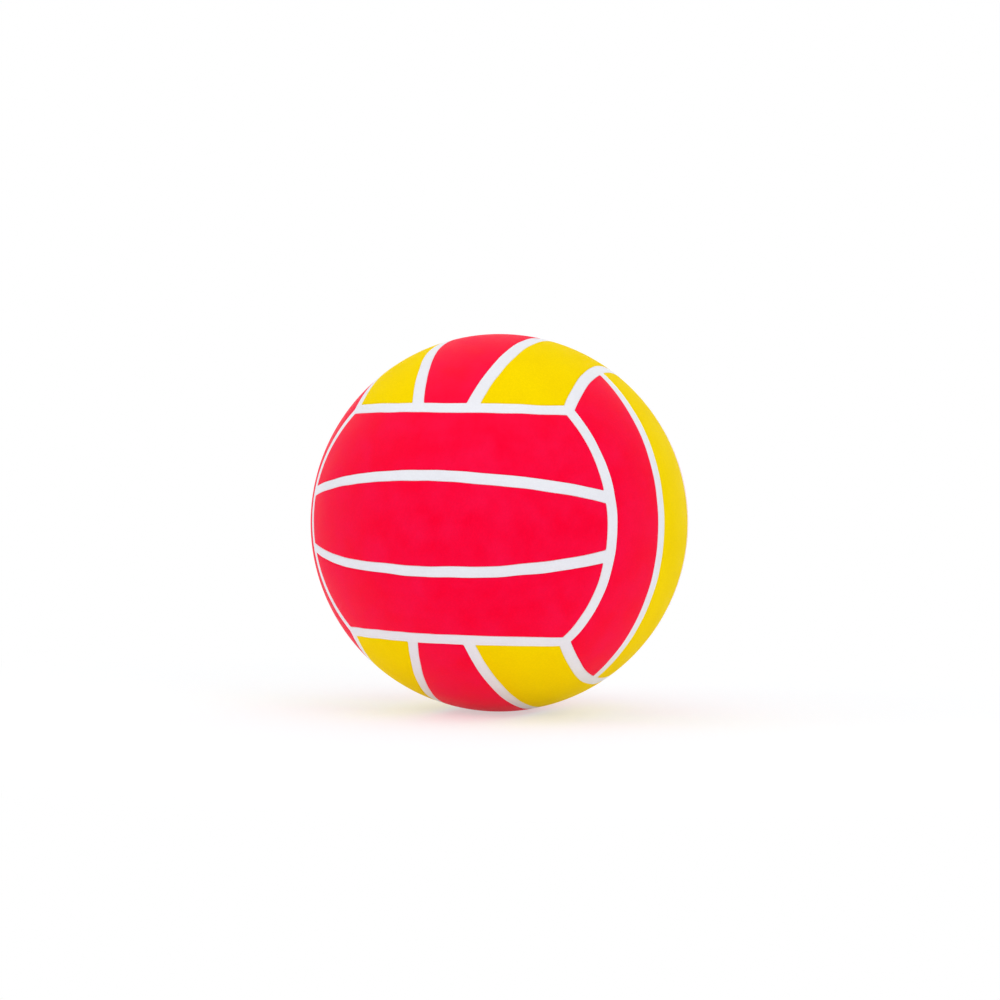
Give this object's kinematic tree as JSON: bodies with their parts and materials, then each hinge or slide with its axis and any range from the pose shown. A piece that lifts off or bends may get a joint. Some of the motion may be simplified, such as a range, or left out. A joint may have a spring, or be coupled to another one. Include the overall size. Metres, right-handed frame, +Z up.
{
  "type": "water polo ball",
  "caption": "Inflatable rubber ball with moulded strip panels in red and yellow, white seams, a thread-wound carcass over an air bladder, and a needle valve whose core pulls out.",
  "frame": {"origin": "centre of the ball", "axes": "+Z up, -Y out of the front face with its three level strips, +X to the right, and +Y out through the valve"},
  "size_m": [0.17, 0.1698, 0.17],
  "materials": {
    "red_rubber": "satin",
    "yellow_rubber": "satin",
    "white_rubber": "satin",
    "butyl": "matte",
    "nylon_thread": "satin",
    "valve_rubber": "satin"
  },
  "bodies": {
    "ball": {"bladder": "butyl", "thread_winding": "nylon_thread", "carcass": "white_rubber", "valve_housing": "valve_rubber", "front_upper_panel": "red_rubber", "front_middle_panel": "red_rubber", "front_lower_panel": "red_rubber", "back_upper_panel": "red_rubber", "back_middle_panel": "red_rubber", "back_lower_panel": "red_rubber", "top_left_panel": "yellow_rubber", "top_middle_panel": "red_rubber", "top_right_panel": "yellow_rubber", "bottom_left_panel": "yellow_rubber", "bottom_middle_panel": "red_rubber", "bottom_right_panel": "yellow_rubber", "right_front_panel": "red_rubber", "right_middle_panel": "yellow_rubber", "right_rear_panel": "red_rubber", "left_front_panel": "red_rubber", "left_middle_panel": "yellow_rubber", "left_rear_panel": "red_rubber"},
    "valve_plug": {"valve_core": "valve_rubber"}
  },
  "joints": [
    {"name": "valve_core_pull", "type": "slide", "parent": "ball", "child": "valve_plug", "axis": [0, 1, 0], "range_m": [0, 0.018]}
  ]
}
